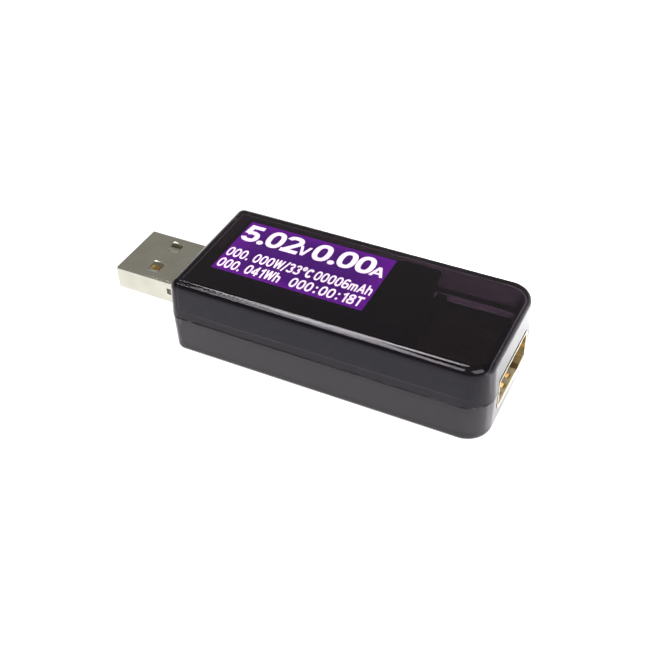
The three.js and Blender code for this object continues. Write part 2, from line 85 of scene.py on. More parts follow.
# Case
WALL = 1.2 * MM
FLOOR = 1.3 * MM
PLUG_CORNER = 1.8 * MM
SOCKET_CORNER = 4.3 * MM
LEAST_CORNER = 0.25 * MM
TOP_EDGE = 1.5 * MM
BOTTOM_EDGE = 1.15 * MM
TOP_DRAFT = 0.3 * MM
BOTTOM_DRAFT = 0.1 * MM
COVER_STEP = 0.06 * MM
CEILING_EDGE = 0.5 * MM
CEILING_STEPS = 5
LIP = 0.5 * MM
LIP_HEIGHT = 0.9 * MM
LIP_SLOT = 3.7 * MM
GAP = 0.1 * MM
SEAM_EDGE = 0.12 * MM
RIM_EDGE = 0.3 * MM
EDGE_EASE = 0.3
CORNER_STEPS = 14
EDGE_STEPS = 10

# Connectors, to the USB-A standard
SHEET = 0.3 * MM
BEND = 0.5 * MM
PLUG_WIDTH = 12.0 * MM
PLUG_HEIGHT = 4.5 * MM
SOCKET_WIDTH = 13.1 * MM
SOCKET_HEIGHT = 5.7 * MM
WINDOW_LENGTH = 2.1 * MM
WINDOW_WIDTH = 2.5 * MM
WINDOW_FROM_MOUTH = 6.3 * MM
WINDOW_FROM_MIDDLE = 3.0 * MM

# Reset button's face, a slot with round ends
BUTTON_WIDTH = 3.2 * MM
BUTTON_HEIGHT = 1.5 * MM
BUTTON_MIDDLE = 8.4 * MM
BUTTON_GAP = 0.12 * MM
BUTTON_FLAT = 0.1 * MM

# Lit area of the display
LIT_LENGTH = 27.3 * MM
LIT_WIDTH = 14.0 * MM
LIT_MIDDLE = Vector((-2.5 * MM, 2.6 * MM))
LIT_CORNER = 0.15 * MM


# Meshes

def new_object(name, mesh):
    """A mesh in the scene that rides on the housing."""
    piece = bpy.data.objects.new(name, mesh)
    bpy.context.scene.collection.objects.link(piece)
    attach(piece, "housing")
    return piece


def mesh_from(name, points, faces):
    """A mesh from points and faces, with its faces turned outwards."""
    mesh = bpy.data.meshes.new(name)
    mesh.from_pydata([tuple(p) for p in points], [], faces)
    shape = bmesh.new()
    shape.from_mesh(mesh)
    bmesh.ops.recalc_face_normals(shape, faces=shape.faces)
    shape.to_mesh(mesh)
    shape.free()
    return mesh


def rounded_outline(u0, u1, v0, v1, start_radius, end_radius=None, steps=CORNER_STEPS):
    """A rectangle with round corners as a list of (u, v). The corners at u0 and u1 may differ in radius."""
    end_radius = start_radius if end_radius is None else end_radius
    corners = [
        (u1 - end_radius, v0 + end_radius, end_radius, -QUARTER),
        (u1 - end_radius, v1 - end_radius, end_radius, 0.0),
        (u0 + start_radius, v1 - start_radius, start_radius, QUARTER),
        (u0 + start_radius, v0 + start_radius, start_radius, 2 * QUARTER),
    ]
    points = []
    for u, v, radius, start in corners:
        for i in range(steps + 1):
            angle = start + QUARTER * i / max(steps, 1)
            points.append((u + radius * math.cos(angle), v + radius * math.sin(angle)))
    return points


def loft(name, rings, closed=False):
    """A closed body from rings of equally many points: capped at both ends, or joined end to end."""
    count = len(rings[0])
    points = [p for ring in rings for p in ring]
    faces = []
    spans = len(rings) if closed else len(rings) - 1
    for i in range(spans):
        a, b = i * count, ((i + 1) % len(rings)) * count
        for j in range(count):
            k = (j + 1) % count
            faces.append((a + j, a + k, b + k, b + j))
    if not closed:
        faces.append(tuple(range(count)))
        faces.append(tuple(range((len(rings) - 1) * count, len(rings) * count)))
    return mesh_from(name, points, faces)


def block(name, low, high):
    """A cutter or a plain rib: a box between two corners."""
    outline = rounded_outline(low[0], high[0], low[1], high[1], 0.0, steps=0)
    rings = [[(x, y, z) for x, y in outline] for z in (low[2], high[2])]
    return loft(name, rings)


def evaluated(name, piece):
    """The piece's mesh with its modifiers worked in."""
    state = piece.evaluated_get(bpy.context.evaluated_depsgraph_get())
    mesh = bpy.data.meshes.new_from_object(state)
    mesh.name = name
    return mesh


def combined(name, mesh, others, operation):
    """The mesh with others cut out of it or joined to it."""
    scene = bpy.context.scene.collection.objects
    piece = bpy.data.objects.new(name, mesh)
    scene.link(piece)
    tools = []
    for i, other in enumerate(others):
        tool = bpy.data.objects.new(f"{name}_tool_{i}", other)
        scene.link(tool)
        modifier = piece.modifiers.new("combine", "BOOLEAN")
        modifier.operation = operation
        modifier.solver = "EXACT"
        modifier.object = tool
        tools.append(tool)
    result = evaluated(name, piece)
    for used in [piece, *tools]:
        bpy.data.objects.remove(used)
    return result


def cut(name, mesh, others):
    return combined(name, mesh, others, "DIFFERENCE")


def join(name, mesh, others):
    return combined(name, mesh, others, "UNION")


def keep_sharp(mesh, angle=50.0):
    """Marks the edges that turn by more than an angle, so that shading breaks there."""
    shape = bmesh.new()
    shape.from_mesh(mesh)
    for edge in shape.edges:
        if len(edge.link_faces) == 2 and edge.calc_face_angle() > math.radians(angle):
            edge.smooth = False
    shape.to_mesh(mesh)
    shape.free()


def finish_edges(piece, width, segments=2, angle=35.0):
    """Rounds a piece's sharp edges a little, and shades it smooth with flat faces kept flat."""
    for polygon in piece.data.polygons:
        polygon.use_smooth = True
    if width == 0:
        keep_sharp(piece.data)
    else:
        bevel = piece.modifiers.new("edges", "BEVEL")
        bevel.width = width
        bevel.segments = segments
        bevel.limit_method = "ANGLE"
        bevel.angle_limit = math.radians(angle)
        bevel.miter_outer = "MITER_ARC"
        bevel.harden_normals = False
    normals = piece.modifiers.new("normals", "WEIGHTED_NORMAL")
    normals.keep_sharp = True
    normals.weight = 100


# Case

def case_ring(inset, z):
    """The case's outline in plan at a height, set in by a distance."""
    x0, x1 = top_low.x + inset, top_high.x - inset
    y = top_high.y - inset
    start = max(PLUG_CORNER - inset, LEAST_CORNER)
    end = max(SOCKET_CORNER - inset, LEAST_CORNER)
    return [(u, v, z) for u, v in rounded_outline(x0, x1, -y, y, start, end)]


def edge_rings(radius, z, rise, inset):
    """Rings round an outer edge of a radius, from the wall inwards.

    rise is 1 for an upper edge and -1 for a lower one.
    """
    rings = []
    for i in range(EDGE_STEPS + 1):
        angle = QUARTER * i / EDGE_STEPS
        in_by = inset + radius * (1 - math.cos(angle))
        rings.append(case_ring(in_by, z - rise * radius * (1 - math.sin(angle))))
    return rings


def mouth_opening(name, low, high, width, height, places):
    """A cutter for the hole in the case round a connector, between two places along the meter."""
    y, z = width / 2 + GAP, height / 2 + GAP
    middle = (low.z + high.z) / 2
    outline = rounded_outline(-y, y, middle - z, middle + z, BEND, steps=6)
    return loft(name, [[(x, u, v) for u, v in outline] for x in places])


def plug_opening():
    places = (top_low.x - MM, top_low.x + WALL + MM)
    return mouth_opening("plug_opening", plug_low, plug_high, PLUG_WIDTH, PLUG_HEIGHT, places)


def socket_opening():
    places = (top_high.x - WALL - MM, top_high.x + MM)
    return mouth_opening("socket_opening", socket_low, socket_high, SOCKET_WIDTH, SOCKET_HEIGHT, places)


def button_opening():
    """A cutter for the reset button's hole in the far long wall: the button's outline and a gap."""
    middle_x = (button_low.x + button_high.x) / 2
    half_x, half_z = BUTTON_WIDTH / 2 + BUTTON_GAP, BUTTON_HEIGHT / 2 + BUTTON_GAP
    outline = rounded_outline(
        middle_x - half_x,
        middle_x + half_x,
        BUTTON_MIDDLE - half_z,
        BUTTON_MIDDLE + half_z,
        half_z - BUTTON_FLAT / 2,
        steps=8,
    )
    places = (top_high.y - 2 * MM, top_high.y + MM)
    return loft("button_opening", [[(u, y, v) for u, v in outline] for y in places])


def top_cover():
    """The upper shell, from the ceiling down its inside, round its rim and up its outside."""
    seam, top = top_low.z, top_high.z
    ceiling = top - WALL
    rebate_top = seam + LIP_HEIGHT + GAP
    rebate = WALL - LIP - GAP
    inner_draft = TOP_DRAFT * (ceiling - seam) / (top - seam)
    rings = []
    for i in range(CEILING_STEPS + 1):
        angle = QUARTER * i / CEILING_STEPS
        rings.append(
            case_ring(
                WALL + inner_draft + CEILING_EDGE * (1 - math.sin(angle)),
                ceiling - CEILING_EDGE * (1 - math.cos(angle)),
            )
        )
    rings += [
        case_ring(WALL, rebate_top),
        case_ring(rebate, rebate_top),
        case_ring(rebate, seam),
        case_ring(SEAM_EDGE, seam),
        case_ring(EDGE_EASE * SEAM_EDGE, seam + EDGE_EASE * SEAM_EDGE),
        case_ring(0.0, seam + SEAM_EDGE),
    ]
    rings += edge_rings(TOP_EDGE, top, 1, TOP_DRAFT)
    shell = loft("top_shell", rings)
    return cut("top_shell", shell, [plug_opening(), socket_opening(), button_opening()])


def bottom_cover():
    """The lower shell: a tray with a lip that enters the upper shell, and posts under the board."""
    rim, base = top_low.z - GAP, base_low.z
    lip_top = top_low.z + LIP_HEIGHT
    lip_side = WALL - LIP
    rings = [
        case_ring(WALL, base + FLOOR),
        case_ring(WALL, lip_top),
        case_ring(lip_side, lip_top),
        case_ring(lip_side, rim),
        case_ring(COVER_STEP + RIM_EDGE, rim),
        case_ring(COVER_STEP + EDGE_EASE * RIM_EDGE, rim - EDGE_EASE * RIM_EDGE),
        case_ring(COVER_STEP, rim - RIM_EDGE),
    ]
    rings += edge_rings(BOTTOM_EDGE, base, -1, COVER_STEP + BOTTOM_DRAFT)
    shell = loft("bottom_shell", rings)
    shell = join("bottom_shell", shell, board_posts())
    middle = (button_high.x + button_low.x) / 2
    slot_half = min((button_high.x - button_low.x) / 2, LIP_SLOT / 2)
    lip_slot = block(
        "lip_slot",
        (middle - slot_half, top_high.y - WALL - MM, rim),
        (middle + slot_half, top_high.y + MM, lip_top + MM),
    )
    return cut("bottom_shell", shell, [plug_opening(), socket_opening(), lip_slot])


def board_posts():
    """Posts that stand against both long walls and carry the board."""
    board_low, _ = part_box("main_board")
    root = 0.2 * MM
    low = base_low.z + FLOOR - root
    high = board_low.z - 0.05 * MM
    inner_x0, inner_x1 = top_low.x + WALL, top_high.x - WALL
    inner_y = top_high.y - WALL
    middle_x = (top_low.x + top_high.x) / 2
    # Where each post starts and ends along the meter: at its middle, by the plug and by the socket
    spans = [
        (middle_x - 0.5 * MM, middle_x + 0.5 * MM),
        (inner_x0 - root, inner_x0 + 1.6 * MM),
        (inner_x1 - 2.6 * MM, inner_x1 - 1.4 * MM),
    ]
    posts = []
    for side in (-1, 1):
        ends = sorted((side * (inner_y - MM), side * (inner_y + root)))
        for x0, x1 in spans:
            posts.append(block("post", (x0, ends[0], low), (x1, ends[1], high)))
    return posts


# Connectors

def tube_ring(x, width, height, middle, inset, radius):
    """The outline of a connector's shell across the meter, at a place along it."""
    y, z = width / 2 - inset, height / 2 - inset
    outline = rounded_outline(-y, y, middle - z, middle + z, radius, steps=8)
    return [(x, u, v) for u, v in outline]


def shell_tube(name, width, height, middle, rear, mouth, roll):
    """A rounded rectangular tube of sheet. The mouth's outer edge rolls in by a small radius."""
    outward = 1 if mouth > rear else -1
    rings = [tube_ring(rear, width, height, middle, SHEET, BEND - SHEET)]
    rings.append(tube_ring(rear, width, height, middle, 0.0, BEND))
    steps = 5
    for i in range(steps + 1):
        angle = QUARTER * i / steps
        x = mouth - outward * roll * (1 - math.sin(angle))
        inset = roll * (1 - math.cos(angle))
        rings.append(tube_ring(x, width, height, middle, inset, BEND - inset))
    burr = 0.04 * MM
    rings.append(tube_ring(mouth, width, height, middle, SHEET - burr, BEND - SHEET + burr))
    rings.append(tube_ring(mouth - outward * burr, width, height, middle, SHEET, BEND - SHEET))
    return loft(name, rings, closed=True)


def window(x, y, inner_z, face_z):
    """A cutter for a catch window from inside a shell to its face, where the punched edge is chamfered."""
    corner, chamfer = 0.15 * MM, 0.14 * MM
    outward = math.copysign(1.0, face_z - inner_z)
    sections = (
        (0.0, inner_z),
        (0.0, face_z - outward * chamfer),
        (2 * chamfer, face_z + outward * chamfer),
    )
    rings = []
    for grown, z in sections:
        u, v = WINDOW_LENGTH / 2 + grown, WINDOW_WIDTH / 2 + grown
        outline = rounded_outline(x - u, x + u, y - v, y + v, corner + grown, steps=3)
        rings.append([(*point, z) for point in outline])
    return loft("window", rings)


def shell_tabs(half, x0, x1):
    """Solder tabs that stand out from a shell's sides and rest on the board."""
    _, board_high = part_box("main_board")
    z0 = board_high.z + 0.02 * MM
    tabs = []
    for side in (-1, 1):
        ends = sorted((side * (half - SHEET + 0.05 * MM), side * (half + 1.8 * MM)))
        tabs.append(block("tab", (x0, ends[0], z0), (x1, ends[1], z0 + SHEET)))
    return tabs


def plug_cutters(half, middle):
    """Two catch windows above and two below, notches in the sides, and a joint line below."""
    cutters = []
    window_x = plug_low.x + WINDOW_FROM_MOUTH
    for y in (-WINDOW_FROM_MIDDLE, WINDOW_FROM_MIDDLE):
        cutters.append(window(window_x, y, middle - MM, plug_low.z))
        cutters.append(window(window_x, y, middle + MM, plug_high.z))
    notch_x, notch_half = top_low.x - 4.2 * MM, 0.4 * MM
    cutters.append(
        block(
            "notch",
            (notch_x - notch_half, -half - MM, middle - notch_half),
            (notch_x + notch_half, half + MM, middle + 2 * notch_half),
        )
    )
    seam_half = 0.03 * MM
    cutters.append(
        block(
            "seam",
            (plug_low.x - MM, -seam_half, plug_low.z - MM),
            (plug_high.x + MM, seam_half, plug_low.z + SHEET + 0.1 * MM),
        )
    )
    return cutters


def plug_shell():
    """The plug's bent sheet, with its cut-outs and its solder tabs."""
    half = PLUG_WIDTH / 2
    middle = (plug_low.z + plug_high.z) / 2
    roll = 0.12 * MM
    tube = shell_tube("plug_tube", PLUG_WIDTH, PLUG_HEIGHT, middle, plug_high.x, plug_low.x, roll)
    shell = cut("plug_tube", tube, plug_cutters(half, middle))
    return join("plug_tube", shell, shell_tabs(half, plug_high.x - 1.6 * MM, plug_high.x - 0.3 * MM))


# Reset switch

def snap_dome():
    """The reset switch's snap dome: a shallow crown of thin sheet facing +Y, dimpled at its middle."""
    low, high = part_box("switch_dome")
    middle = (low + high) / 2
    radius = high.x - middle.x
    sheet = 0.06 * MM
    rise = high.y - low.y - sheet
    dimple, dimple_depth = 0.3, 0.03 * MM
    sides = 32
    shares = [0.01, 0.1, 0.2, 0.3, 0.4, 0.5, 0.6, 0.7, 0.8, 0.9, 0.97]

    def ring(share, back):
        sunk = dimple_depth * max(0.0, 1 - (share / dimple) ** 2)
        y = low.y + sheet + rise * (1 - share**2) - sunk - back
        turns = [2 * math.pi * i / sides for i in range(sides)]
        reach = radius * share
        return [(middle.x + reach * math.cos(t), y, middle.z + reach * math.sin(t)) for t in turns]

    rings = [ring(share, 0.0) for share in shares]
    rings += [ring(share, sheet) for share in reversed(shares)]
    return loft("snap_dome", rings)


# Display readings

def arc(x, y, half_width, half_height, start, end, steps=20, square=2.4):
    """Points on a rounded loop. square is 2 for an ellipse and more for a squarer loop.

    start and end are in degrees.
    """
    def bowed(part):
        return math.copysign(abs(part) ** (2 / square), part)

    points = []
    for i in range(steps + 1):
        angle = math.radians(start + (end - start) * i / steps)
        points.append((x + half_width * bowed(math.cos(angle)), y + half_height * bowed(math.sin(angle))))
    return points


def glyph_strokes(letter, pen):
    """The centre lines of a letter's strokes, in a cell 1 high, and the cell's width.

    The letter "o" is the degree sign. pen is the strokes' width.
    """
    p = pen / 2
    top, mid = 1 - p, 0.5
    centre, reach = 0.33, 0.33 - p

    def dot(x, y):
        """A round point, as squares turned on each other."""
        squares = []
        for turn in (0.0, QUARTER / 3, 2 * QUARTER / 3):
            u, v = p * math.cos(turn), p * math.sin(turn)
            squares.append([(x - u, y - v), (x + u, y + v)])
        return squares

    strokes = {
        "0": ([arc(centre, mid, reach, mid - p, 0, 360, 36)], 0.66),
        "1": ([[(0.34, 0), (0.34, 1)], [(0.34, top - 0.04), (0.05, 0.74)]], 0.46),
        "2": (
            [
                arc(centre, 0.71, reach, 0.29 - p, 172, -28, 20) + [(p + 0.02, p)],
                [(0.0, p), (0.66, p)],
            ],
            0.66,
        ),
        "3": (
            [
                arc(centre - 0.02, 0.735, reach - 0.02, 0.265 - p, 165, -90, 20),
                arc(centre - 0.02, 0.275, reach, 0.275 - p, 90, -165, 20),
            ],
            0.64,
        ),
        "4": ([[(0.47, 0), (0.47, 1)], [(0.47, 0.93), (0.04, 0.3)], [(0.0, 0.28), (0.68, 0.28)]], 0.68),
        "5": (
            [
                [(0.6, top), (0.12, top)],
                [(0.16, 1.0), (0.1, 0.48)],
                arc(centre - 0.02, 0.325, reach, 0.325 - p, 142, -165, 24),
            ],
            0.65,
        ),
        "6": (
            [
                arc(centre, 0.31, reach, 0.31 - p, 0, 360, 30),
                arc(centre + 0.02, 0.52, reach + 0.02, 0.48 - p, 40, 190, 20),
            ],
            0.66,
        ),
        "8": (
            [
                arc(centre, 0.745, reach - 0.03, 0.255 - p, 0, 360, 28),
                arc(centre, 0.275, reach, 0.275 - p, 0, 360, 30),
            ],
            0.66,
        ),
        ".": (dot(0.12, 1.15 * p), 0.24),
        ":": (dot(0.26, 0.14) + dot(0.26, 0.66), 0.52),
        "/": ([[(0.02, -0.05), (0.36, 1.05)]], 0.38),
        "o": ([arc(0.22, 0.8, 0.15, 0.15, 0, 360, 20, 2)], 0.42),
        "V": ([[(p, 1), (0.36, p * 0.6)], [(0.72 - p, 1), (0.36, p * 0.6)]], 0.72),
        "A": (
            [
                [(p, 0), (0.38, 1 - p * 0.6)],
                [(0.76 - p, 0), (0.38, 1 - p * 0.6)],
                [(0.2, 0.3), (0.56, 0.3)],
            ],
            0.76,
        ),
        "W": (
            [
                [(p, 1), (0.27, p * 0.6)],
                [(0.27, p * 0.6), (0.48, 1)],
                [(0.48, 1), (0.69, p * 0.6)],
                [(0.69, p * 0.6), (0.96 - p, 1)],
            ],
            0.96,
        ),
        "C": ([arc(0.4, mid, 0.4 - p, mid - p, 38, 322, 28)], 0.78),
        "T": ([[(0.0, top), (0.62, top)], [(0.31, 0), (0.31, top)]], 0.62),
        "h": (
            [[(p, 0), (p, 1)], arc(0.29, 0.44, 0.29 - p, 0.28 - p, 180, 0, 14) + [(0.58 - p, 0)]],
            0.58,
        ),
        "m": (
            [
                [(p, 0), (p, 0.7)],
                arc(0.25, 0.44, 0.25 - p, 0.28 - p, 180, 0, 12) + [(0.5 - p, 0)],
                arc(0.25 + 0.5 - 2 * p, 0.44, 0.25 - p, 0.28 - p, 180, 0, 12) + [(1.0 - 3 * p, 0)],
            ],
            1.0 - 2 * p,
        ),
    }
    return strokes[letter]


def stroke_quads(points, pen):
    """A line of points drawn with a pen's width, as separate quads with mitred joints."""
    sharpest = 0.5
    path = [Vector(p) for p in points]
    looped = (path[0] - path[-1]).length < 1e-6
    sides = []
    for i, point in enumerate(path):
        before = path[i - 1] if i > 0 else (path[-2] if looped else point)
        after = path[i + 1] if i < len(path) - 1 else (path[1] if looped else point)
        into = (point - before).normalized() if (point - before).length > 1e-9 else None
        out = (after - point).normalized() if (after - point).length > 1e-9 else None
        into, out = into or out, out or into
        along = (into + out).normalized()
        reach = pen / 2 / max(along.dot(out), sharpest)
        across = Vector((-along.y, along.x)) * reach
        sides.append((point + across, point - across))
    return [
        [sides[i][0], sides[i][1], sides[i + 1][1], sides[i + 1][0]] for i in range(len(sides) - 1)
    ]


def text_glyphs(text, x0, x1, base, height, pen, spacing):
    """A line of letters that fills the width between x0 and x1, each letter a list of quads."""
    blank = 0.4
    cells, cursor = [], 0.0
    for letter in text:
        if letter == " ":
            cursor += blank
            continue
        strokes, width = glyph_strokes(letter, pen)
        cells.append((cursor, strokes))
        cursor += width + spacing
    natural = (cursor - spacing) * height
    squeeze = (x1 - x0) / natural

    def placed(point, start):
        return Vector((x0 + (start + point.x) * height * squeeze, base + point.y * height))

    glyphs = []
    for start, strokes in cells:
        quads = [quad for stroke in strokes for quad in stroke_quads(stroke, pen)]
        glyphs.append([[placed(point, start) for point in quad] for quad in quads])
    return glyphs


def inside(point, quad):
    """Whether a point lies in a quad, whichever way round the quad runs."""
    turns = [(quad[(i + 1) % 4] - quad[i]).cross(point - quad[i]) for i in range(4)]
    return min(turns) >= 0 or max(turns) <= 0


def glyph_outline(quads):
    """One flat triangulated shape that covers all of a letter's quads."""
    corners = [corner for quad in quads for corner in quad]
    loops = [list(range(i, i + 4)) for i in range(0, len(corners), 4)]
    flat, _, triangles, _, _, _ = geometry.delaunay_2d_cdt(corners, [], loops, 1, 1e-9)
    kept = []
    for triangle in triangles:
        centre = sum((flat[i] for i in triangle), Vector((0.0, 0.0))) / len(triangle)
        if any(inside(centre, quad) for quad in quads):
            kept.append(list(triangle))
    return flat, kept


def readings_mesh(z):
    """The readings as thin figures on the lit area: two large values over two rows of small ones."""
    left = LIT_MIDDLE.x - LIT_LENGTH / 2
    near = LIT_MIDDLE.y - LIT_WIDTH / 2
    # Height as a share of the lit area's width, then the pen and the spacing as shares of the height
    large, unit, small = (0.325, 0.19, 0.02), (0.185, 0.165, 0.04), (0.172, 0.165, 0.09)
    # Each row's foot, as a share of the lit area's width
    first, first_unit, second, third = 0.615, 0.625, 0.275, 0.048
    # Text, the two ends as shares of the lit area's length, foot and size
    lines = [
        ("5.02", 0.012, 0.41, first, large),
        ("V", 0.403, 0.482, first_unit, unit),
        ("0.00", 0.497, 0.905, first, large),
        ("A", 0.895, 0.985, first_unit, unit),
        ("000. 000W/33o", 0.012, 0.546, second, small),
        ("C", 0.553, 0.597, second, (0.165, 0.23, 0.0)),
        ("00006mAh", 0.612, 0.985, second, small),
        ("000. 041Wh", 0.015, 0.437, third, small),
        ("000:00:18T", 0.505, 0.975, third, small),
    ]
    points, faces = [], []
    for text, x0, x1, base, (height, pen, spacing) in lines:
        ends = (left + x0 * LIT_LENGTH, left + x1 * LIT_LENGTH)
        foot = near + base * LIT_WIDTH
        for quads in text_glyphs(text, *ends, foot, height * LIT_WIDTH, pen, spacing):
            flat, triangles = glyph_outline(quads)
            faces += [[i + len(points) for i in triangle] for triangle in triangles]
            points += [(p.x, p.y, z) for p in flat]
    return mesh_from("readings", points, faces)


# Materials

class Surface:
    """A material on one Principled shader, with a few procedural patterns in object space."""

    def __init__(self, name, **values):
        self.material = bpy.data.materials.new(name)
        self.material.use_nodes = True
        self.tree = self.material.node_tree
        self.shader = self.tree.nodes["Principled BSDF"]
        for key, value in values.items():
            self.set(key, value)

    def set(self, socket, value):
        name = socket.replace("_", " ").title().replace("Ior", "IOR")
        if isinstance(value, tuple):
            value = (*value, 1.0)
        self.shader.inputs[name].default_value = value

    def node(self, kind, **values):
        made = self.tree.nodes.new(kind)
        for key, value in values.items():
            setattr(made, key, value)
        return made

    def place(self, stretch=(1.0, 1.0, 1.0)):
        """Object coordinates in metres, stretched along each axis."""
        coordinates = self.node("ShaderNodeTexCoord")
        mapping = self.node("ShaderNodeMapping")
        mapping.inputs["Scale"].default_value = stretch
        self.tree.links.new(coordinates.outputs["Object"], mapping.inputs["Vector"])
        return mapping.outputs["Vector"]

    def noise(self, size, detail=3.0, stretch=(1.0, 1.0, 1.0)):
        """Soft noise with features of a size, in metres."""
        made = self.node("ShaderNodeTexNoise")
        made.inputs["Scale"].default_value = 1.0 / size
        made.inputs["Detail"].default_value = detail
        self.tree.links.new(self.place(stretch), made.inputs["Vector"])
        return made.outputs["Fac"]

    def spread(self, factor, low, high, start=0.3, end=0.7):
        """A number that runs between two values as the factor does."""
        made = self.node("ShaderNodeMapRange")
        made.inputs["From Min"].default_value = start
        made.inputs["From Max"].default_value = end
        made.inputs["To Min"].default_value = low
        made.inputs["To Max"].default_value = high
        self.tree.links.new(factor, made.inputs["Value"])
        return made.outputs["Result"]

    def near_sides(self, low, high, margin, blend):
        """A factor that rises from 0 to 1 where a box's upright sides come within a margin."""
        middle, half = (low + high) / 2, (high - low) / 2
        centred = self.node("ShaderNodeVectorMath", operation="SUBTRACT")
        centred.inputs[1].default_value = middle
        self.tree.links.new(self.place(), centred.inputs[0])
        folded = self.node("ShaderNodeVectorMath", operation="ABSOLUTE")
        self.tree.links.new(centred.outputs["Vector"], folded.inputs[0])
        axes = self.node("ShaderNodeSeparateXYZ")
        self.tree.links.new(folded.outputs["Vector"], axes.inputs["Vector"])
        larger = self.node("ShaderNodeMath", operation="MAXIMUM")
        for i, axis in enumerate("XY"):
            start = half[i] - margin - blend
            reached = self.spread(axes.outputs[axis], 0.0, 1.0, start, start + blend)
            self.tree.links.new(reached, larger.inputs[i])
        return larger.outputs["Value"]

    def added(self, first, second):
        """The sum of two factors."""
        made = self.node("ShaderNodeMath", operation="ADD")
        self.tree.links.new(first, made.inputs[0])
        self.tree.links.new(second, made.inputs[1])
        return made.outputs["Value"]

    def colours(self, factor, stops):
        """A colour ramp over the factor. stops are (place, colour)."""
        made = self.node("ShaderNodeValToRGB")
        ramp = made.color_ramp
        while len(ramp.elements) < len(stops):
            ramp.elements.new(0.5)
        for element, (place, colour) in zip(ramp.elements, stops):
            element.position = place
            element.color = (*colour, 1.0)
        self.tree.links.new(factor, made.inputs["Fac"])
        return made.outputs["Color"]

    def drive(self, socket, output):
        self.tree.links.new(output, self.shader.inputs[socket])

    def bump(self, height, depth, strength=1.0):
        """Bump of a depth in metres."""
        made = self.node("ShaderNodeBump")
        made.inputs["Strength"].default_value = strength
        made.inputs["Distance"].default_value = depth
        self.tree.links.new(height, made.inputs["Height"])
        self.drive("Normal", made.outputs["Normal"])


def smoky_plastic(name, clearest, darkest, walls, ior, sheen):
    """Clear smoked polycarbonate: violet-grey, with painted shade that darkens it within about 2 mm of its
    upright walls, and faint flow waves and marks.
    """
    surface = Surface(name, transmission_weight=1.0, ior=ior, specular_tint=sheen)
    cloud_share, wall_shade_share = 0.4, 0.6
    cloud = surface.spread(surface.noise(9 * MM, 2.0), 0.0, cloud_share)
    # Painted shade: near the upright sides the base colour runs to the darker walls colour
    sides = surface.near_sides(top_low, top_high, 1.9 * MM, 0.4 * MM)
    edge = surface.spread(sides, 0.0, wall_shade_share, 0.0, 1.0)
    stops = [(0.0, darkest), (cloud_share, clearest), (wall_shade_share, walls)]
    surface.drive("Base Color", surface.colours(surface.added(cloud, edge), stops))
    marks = surface.noise(1.4 * MM, 4.0, (0.5, 1.0, 1.0))
    surface.drive("Roughness", surface.spread(marks, 0.01, 0.035))
    waves = surface.noise(1.6 * MM, 1.0, (0.1, 1.0, 1.0))
    surface.bump(waves, 0.006 * MM, 0.35)
    return surface.material


def button_plastic():
    """Dark moulded plastic with a fine spark-eroded texture."""
    surface = Surface("button_plastic")
    grain = surface.noise(0.12 * MM, 4.0)
    shade = surface.colours(grain, [(0.35, (0.009, 0.008, 0.011)), (0.65, (0.016, 0.014, 0.019))])
    surface.drive("Base Color", shade)
    surface.drive("Roughness", surface.spread(grain, 0.32, 0.48))
    surface.bump(grain, 0.012 * MM, 0.5)
    return surface.material


def nickel(name, dark, light):
    """Nickel-plated sheet: satin, with a fine rolled grain and faint warm stains."""
    surface = Surface(name, metallic=1.0)
    rolled = surface.noise(0.2 * MM, 2.0, (0.3, 1.0, 1.0))
    stains = surface.noise(3.5 * MM, 3.0)
    tone = surface.colours(stains, [(0.3, dark), (0.7, light)])
    surface.drive("Base Color", tone)
    surface.drive("Roughness", surface.spread(rolled, 0.07, 0.1))
    surface.bump(rolled, 0.0004 * MM, 0.3)
    return surface.material


def gold():
    """Thin gold plating over nickel, a little worn where contacts wipe."""
    surface = Surface("gold", metallic=1.0)
    wear = surface.noise(0.5 * MM, 4.0, (0.25, 1.0, 1.0))
    tone = surface.colours(wear, [(0.3, (0.78, 0.5, 0.17)), (0.75, (0.86, 0.66, 0.33))])
    surface.drive("Base Color", tone)
    surface.drive("Roughness", surface.spread(wear, 0.16, 0.32))
    surface.bump(wear, 0.003 * MM, 0.4)
    return surface.material


def moulded(name, dark, light, roughness, grain_size=0.2 * MM, depth=0.006 * MM):
    """Opaque moulded plastic with a fine grain and slight cloudiness."""
    surface = Surface(name)
    grain = surface.noise(grain_size, 4.0)
    cloud = surface.noise(2.5 * MM, 2.0)
    surface.drive("Base Color", surface.colours(cloud, [(0.3, dark), (0.7, light)]))
    surface.drive("Roughness", surface.spread(grain, roughness - 0.06, roughness + 0.08))
    surface.bump(grain, depth, 0.5)
    return surface.material


def laminate():
    """Circuit board: dark green solder mask over a faint weave and copper tracks."""
    surface = Surface("laminate")
    weave = surface.node("ShaderNodeTexChecker")
    weave.inputs["Scale"].default_value = 1.0 / (0.35 * MM)
    surface.tree.links.new(surface.place(), weave.inputs["Vector"])
    tracks = surface.noise(1.2 * MM, 1.0, (0.4, 1.0, 0.2))
    tone = surface.colours(
        tracks,
        [(0.46, (0.008, 0.05, 0.022)), (0.5, (0.016, 0.09, 0.04)), (0.56, (0.01, 0.06, 0.026))],
    )
    surface.drive("Base Color", tone)
    surface.drive("Roughness", surface.spread(tracks, 0.3, 0.45))
    surface.bump(weave.outputs["Fac"], 0.004 * MM, 0.3)
    return surface.material


def clear_sheet(name, tone_low, tone_high, roughness):
    """A clear sheet inside the display, with slight clouding."""
    surface = Surface(name, transmission_weight=0.9, ior=1.49)
    cloud = surface.noise(4 * MM, 3.0)
    surface.drive("Base Color", surface.colours(cloud, [(0.3, tone_low), (0.7, tone_high)]))
    surface.drive("Roughness", surface.spread(cloud, roughness, roughness + 0.08))
    return surface.material


